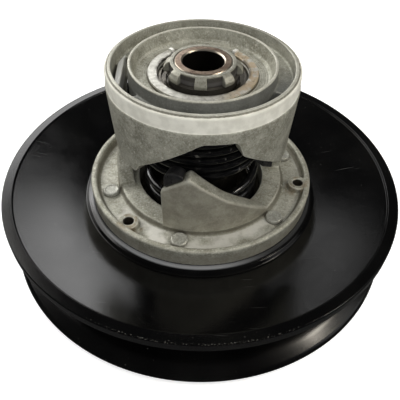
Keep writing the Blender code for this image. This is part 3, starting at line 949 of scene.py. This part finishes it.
def outer_cam_cap():
    """The fixed half's casting: a cup with a banded rim, whose skirt ends in three ramps."""
    profile = (
        (52.3, CAP_TOP, 0.3),
        (52.5, 122.8, 0.1),
        (53.1, 122.7, 0.1),
        (53.2, 123.1, 0.2),
        (53.6, 123.1, 0.3),
        (BAND_R, 122.3, 0.3),
        (BAND_R, BAND_LOW, 0.2),
        (54.7, BAND_LOW - 0.3, 0.4),
        (53.0, 84.0, 0.4),
        (53.0, 75.0, 0.4),
        (44.8, 75.0, 0.4),
        (44.8, 108.2, 0.4),
        (40.4, 108.2, 0.4),
        (40.4, 112.0, 0.4),
        (30.8, 112.0, 0.4),
        (30.8, 98.0, 0.4),
        (25.5, 98.0, 0.4),
        (25.5, 116.0, 0.3),
        (38.0, 116.0, 2.2),
        (39.8, CUP_TOP, 0.6),
        (41.4, CUP_TOP, 0.5),
        (41.7, 116.5, 0.6),
        (50.3, 116.5, 1.0),
        (50.4, CAP_TOP, 0.3),
    )
    obj = turned("outer_cam_cap_casting", rounded(profile))
    start = CAP_EDGE[0][0]
    azimuths = stations(start, start + 360.0, cap_edge_keys())[:-1]
    tools = [sector("underside", azimuths, SKIRT_CUT_R, level(SKIRT_CUT_LOW), cap_edge, closed=True)]
    tools += [cap_pocket(i) for i in range(CAM_COUNT)]
    combine(obj, "DIFFERENCE", tools)
    soften(obj, CAP_VOXEL, 3)
    obj.data.shade_smooth()
    dress(obj, "cast_aluminium", "outer_cam_cap")


def cap_pocket(index):
    """The cored-out hollow in one lobe of the cap, crossed by a straight rib."""
    turn = CAM_PITCH * index
    azimuths = stations(POCKET_SPAN[0] + turn, POCKET_SPAN[1] + turn, cap_edge_keys())

    def floor_height(azimuth):
        return cap_edge(azimuth) + POCKET_FLOOR

    pocket = sector(f"pocket_{index + 1}", azimuths, POCKET_R, floor_height, level(ABOVE_ALL))
    bm = bmesh.new()
    bmesh.ops.create_cube(bm, size=1.0)
    bmesh.ops.scale(bm, verts=bm.verts, vec=Vector(RIB_SIZE) * MM)
    rib = add_mesh(f"rib_{index + 1}", bm)
    rib.location = point(RIB_AZIMUTH + turn, *RIB_CENTRE)
    rib.rotation_euler.z = math.radians(RIB_AZIMUTH + turn)
    return combine(pocket, "DIFFERENCE", [rib])


def spanner_nut():
    """The round nut with eight slots through its chamfered rim."""
    profile = (
        (18.2, 124.0, 0.4),
        (20.4, 122.7, 0.8),
        (22.0, 120.4, 0.6),
        (22.0, 118.4, 0.3),
        (19.6, 117.0, 0.2),
        (19.6, 112.5, 0.2),
        (16.2, 112.5, 0.2),
        (16.2, 124.0, 0.3),
    )
    obj = turned("spanner_nut_body", rounded(profile))
    slot = 360.0 / SLOT_COUNT - TOOTH_ANGLE
    tools = []
    for i in range(SLOT_COUNT):
        middle = FIRST_TOOTH + 360.0 / SLOT_COUNT * (i + 0.5)
        azimuths = stations(middle - slot / 2, middle + slot / 2)
        tools.append(sector(f"slot_{i + 1}", azimuths, SLOT_R, level(SLOT_FLOOR_Z), level(ABOVE_ALL)))
    combine(obj, "DIFFERENCE", tools)
    soften(obj, NUT_VOXEL, 2)
    obj.data.shade_smooth()
    dress(obj, "steel", "spanner_nut")


def centre_post():
    """The hollow post, with a collar under the insert."""
    profile = (
        (15.4, POST_TOP, 0.1),
        (15.9, POST_TOP - 0.5, 0.1),
        (15.9, 98.1, 0.1),
        (19.4, 98.1, 0.3),
        (19.4, 95.6, 0.3),
        (15.9, 95.6, 0.1),
        (15.9, 0.4, 0.1),
        (15.5, 0.0, 0.1),
        (12.3, 0.0, 0.1),
        (11.7, 0.6, 0.1),
        (11.7, POST_TOP - 0.7, 0.1),
        (12.4, POST_TOP, 0.1),
    )
    obj = turned("centre_post_tube", rounded(profile))
    dress(crisp_shading(obj), "brown_steel", "centre_post")


def hub_insert():
    """The stepped sleeve between the post and the cap."""
    profile = (
        (25.2, 115.4, 0.4),
        (25.2, 98.4, 0.2),
        (16.2, 98.4, 0.1),
        (16.2, 112.2, 0.1),
        (20.6, 112.2, 0.2),
        (20.6, 114.0, 0.3),
        (23.4, 114.0, 0.2),
        (23.4, 115.4, 0.3),
    )
    obj = turned("hub_insert_sleeve", rounded(profile))
    dress(crisp_shading(obj), "dark_steel", "hub_insert")


def retaining_ring():
    """A snap ring with a small upturned lug at each open end."""
    azimuths = stations(-RING_END, RING_END)
    ring = sector("retaining_ring_wire", azimuths, RING_R, level(RING_Z[0]), level(RING_Z[1]), fillet=0.4)
    lugs = []
    for side in (-1.0, 1.0):
        azimuths = stations(*sorted(side * azimuth for azimuth in LUG_SPAN))
        lugs.append(sector("lug", azimuths, LUG_R, level(LUG_Z[0]), level(LUG_Z[1]), fillet=0.5))
    combine(ring, "UNION", lugs)
    dress(crisp_shading(ring), "bright_steel", "retaining_ring")


def hubs():
    """The movable half's inner tube and the hub behind the fixed sheave."""
    tube = ((25.0, 75.0, 0.8), (25.0, 25.7, 0.5), (20.3, 25.7, 0.4), (20.3, 75.0, 0.6))
    obj = turned("hub_tube_sleeve", rounded(tube))
    dress(crisp_shading(obj), "dark_steel", "hub_tube")
    rear = (
        (46.0, 15.5, 0.2),
        (46.0, 10.1, 0.6),
        (45.4, 9.5, 0.6),
        (32.5, 9.5, 2.0),
        (31.0, 8.0, 1.0),
        (31.0, 0.8, 0.6),
        (30.2, 0.0, 0.6),
        (16.2, 0.0, 0.4),
        (16.2, 15.5, 0.2),
    )
    obj = turned("rear_hub_boss", rounded(rear))
    dress(crisp_shading(obj), "steel", "rear_hub")


def rivets():
    """Two rings of rivets: dimpled heads on the flange, domed ones behind the fixed sheave."""
    head = (
        (0.0, 42.55),
        (3.3, 42.6, 1.0),
        (4.3, 43.0, 0.5),
        (5.1, 42.5, 0.5),
        (5.3, 41.0, 0.2),
        (RIVET_SHANK_R, 41.0, 0.1),
        (RIVET_SHANK_R, 24.6, 0.3),
        (0.0, 24.6),
    )
    obj = turned("cam_rivet_head", rounded(head), SMALL_STEPS)
    obj.data.shade_smooth()
    obj.data.transform(Matrix.Translation(point(RIVET_FIRST, RIVET_PITCH_R, 0.0)))
    ring_of("cam_rivet", obj, RIVET_COUNT, "rivet_steel")
    tail = (
        (0.0, 21.5),
        (RIVET_SHANK_R, 21.5, 0.3),
        (RIVET_SHANK_R, 9.2, 0.1),
        (5.0, 9.2, 0.4),
        (4.3, 7.6, 1.2),
        (0.0, 7.4),
    )
    obj = turned("rear_rivet_head", rounded(tail), SMALL_STEPS)
    obj.data.shade_smooth()
    obj.data.transform(Matrix.Translation(point(0.0, REAR_RIVET_PITCH_R, 0.0)))
    ring_of("rear_rivet", obj, RIVET_COUNT, "rivet_steel")


def buttons():
    """Nylon sliders: one on each lobe's short slope, one under each long slope of the cap."""

    def seat(azimuth):
        return along(LOBE_TOP, azimuth) + BUTTON_GAP

    def crown(azimuth):
        return CAM_BUTTON_TOP - CAM_BUTTON_CROWN * (azimuth - CAM_BUTTON_PEAK) ** 2

    azimuths = stations(*CAM_BUTTON_SPAN)
    obj = sector("cam_button_block", azimuths, CAM_BUTTON_R, seat, crown, fillet=1.0)
    soften(obj, BUTTON_VOXEL, 5)
    obj.data.shade_smooth()
    ring_of("cam_button", obj, CAM_COUNT, "black_nylon")

    def under(azimuth):
        return cap_edge(azimuth) - CAP_BUTTON_HEIGHT

    def against(azimuth):
        return cap_edge(azimuth) - BUTTON_GAP

    azimuths = stations(*CAP_BUTTON_SPAN)
    obj = sector("cap_button_block", azimuths, CAP_BUTTON_R, under, against, fillet=0.7)
    soften(obj, BUTTON_VOXEL, 4)
    obj.data.shade_smooth()
    ring_of("cap_button", obj, CAM_COUNT, "black_nylon")


def spring():
    """The coil, with a wide gap between its lower and upper turns."""
    curve = bpy.data.curves.new("spring_wire", "CURVE")
    curve.dimensions = "3D"
    curve.bevel_depth = WIRE_R * MM
    curve.bevel_resolution = WIRE_ROUNDNESS
    curve.use_fill_caps = True
    count = int(SPRING_RISE[-1][0] * WIRE_POINTS) + 1
    line = curve.splines.new("POLY")
    line.points.add(count - 1)
    for i in range(count):
        turn = i / WIRE_POINTS
        height = SPRING_LOW + WIRE_R + along(SPRING_RISE, turn)
        line.points[i].co = (*point(360.0 * turn, SPRING_R, height), 1.0)
    wire = bpy.data.objects.new("spring_path", curve)
    bpy.context.scene.collection.objects.link(wire)
    depsgraph = bpy.context.evaluated_depsgraph_get()
    mesh = bpy.data.meshes.new_from_object(wire.evaluated_get(depsgraph))
    bpy.data.objects.remove(wire)
    obj = bpy.data.objects.new("spring_coil", mesh)
    bpy.context.scene.collection.objects.link(obj)
    mesh.shade_smooth()
    dress(obj, "spring_black", "spring")
    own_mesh(obj)


# ---------------------------------------------------------------- studio


def floor():
    """A plain pale floor that reads as white where the camera sees it and as dark in reflections."""
    bpy.ops.mesh.primitive_plane_add(size=FLOOR_SIZE, location=(0.0, 0.0, CAD_BOX[0].z - FLOOR_DROP))
    plane = bpy.context.object
    plane.name = "floor"
    g = Graph("pale_floor")
    seen = g.node("ShaderNodeLightPath", "Is Camera Ray")
    mirrored = g.node("ShaderNodeLightPath", "Is Glossy Ray")
    g.put(g.surface.inputs["Emission Color"], (1.0, 1.0, 1.0))
    g.put(g.surface.inputs["Emission Strength"], g.times(seen, FLOOR_LIFT))
    colour = g.mix(mirrored, (0.86, 0.86, 0.85), (0.07, 0.07, 0.07))
    g.finish(colour, 0.8, 0.0, g.bump(g.noise(200.0), 0.01), 0.1)
    plane.data.materials.append(g.material)


def softbox(name, centre, target, size, radiance, colour=(1.0, 1.0, 1.0), mirrored=True):
    """A rectangular soft light, sized in metres. The camera doesn't see it, and gloss mirrors it if asked."""
    light = bpy.data.lights.new(name, "AREA")
    light.shape = "RECTANGLE"
    light.size, light.size_y = size
    light.energy = radiance * math.pi * size[0] * size[1]
    light.color = colour
    obj = bpy.data.objects.new(name, light)
    bpy.context.scene.collection.objects.link(obj)
    obj.location = centre
    obj.rotation_mode = "QUATERNION"
    obj.rotation_quaternion = (Vector(target) - Vector(centre)).to_track_quat("-Z", "Y")
    obj.visible_camera = False
    obj.visible_glossy = mirrored


def studio():
    """The floor, a few soft lights, and a grey world that the camera sees nearly white."""
    floor()
    middle = (0.0, 0.0, 0.05)
    softbox("back_left_panel", (-0.24, 0.32, 0.27), (-0.12, -0.10, 0.04), (0.42, 0.16), 4.1)
    softbox("left_box", (-0.55, 0.30, 0.55), middle, (0.50, 0.40), 2.8, (1.0, 0.98, 0.94))
    softbox("small_lamp", (0.507, -0.12, 0.61), (0.07, -0.1, 0.0), (0.13, 0.08), 32.0, (1.0, 0.93, 0.80))
    softbox("back_glow", (0.045, 0.55, 0.41), (0.06, -0.06, 0.04), (0.17, 0.09), 1.2)
    softbox("top_box", (0.0, -0.15, 1.10), middle, (0.7, 0.7), 2.8, mirrored=False)
    softbox("front_fill", (0.05, -1.00, 0.75), middle, (0.9, 0.6), 3.4, mirrored=False)
    softbox("right_fill", (0.80, -0.20, 0.45), middle, (0.5, 0.5), 0.8)
    world = bpy.data.worlds.new("studio")
    world.use_nodes = True
    tree = world.node_tree
    path = tree.nodes.new("ShaderNodeLightPath")
    shade = (WORLD_SHADE, WORLD_SHADE, WORLD_SHADE, 1.0)
    for kind, value in (("Is Glossy Ray", WORLD_IN_GLOSS), ("Is Camera Ray", WORLD_SEEN)):
        mix = tree.nodes.new("ShaderNodeMix")
        mix.data_type = "RGBA"
        tree.links.new(path.outputs[kind], mix.inputs[0])
        if isinstance(shade, tuple):
            mix.inputs[6].default_value = shade
        else:
            tree.links.new(shade, mix.inputs[6])
        mix.inputs[7].default_value = (value, value, value, 1.0)
        shade = mix.outputs[2]
    tree.links.new(shade, tree.nodes["Background"].inputs["Color"])
    bpy.context.scene.world = world
    bpy.context.scene.view_settings.view_transform = "Standard"


def camera():
    """Looks down on the pulley from the front at 45 degrees, with a slight roll."""
    data = bpy.data.cameras.new("camera")
    data.lens = CAMERA_LENS
    data.sensor_width = 36.0
    data.clip_start = 0.01
    cam = bpy.data.objects.new("camera", data)
    bpy.context.scene.collection.objects.link(cam)
    tilt = Matrix.Rotation(math.radians(90.0 - CAMERA_ELEVATION), 4, "X")
    roll = Matrix.Rotation(math.radians(CAMERA_ROLL), 4, "Z")
    cam.matrix_world = Matrix.Translation(CAMERA_PLACE) @ tilt @ roll
    bpy.context.scene.camera = cam


sheaves()
cam_flange()
outer_cam_cap()
centre_post()
spanner_nut()
hub_insert()
retaining_ring()
hubs()
rivets()
buttons()
spring()
keep_cad("dark_steel", "spring_seat", "spring_top_seat")
keep_cad("bronze", "slide_bush_lower", "slide_bush_upper")
studio()
camera()
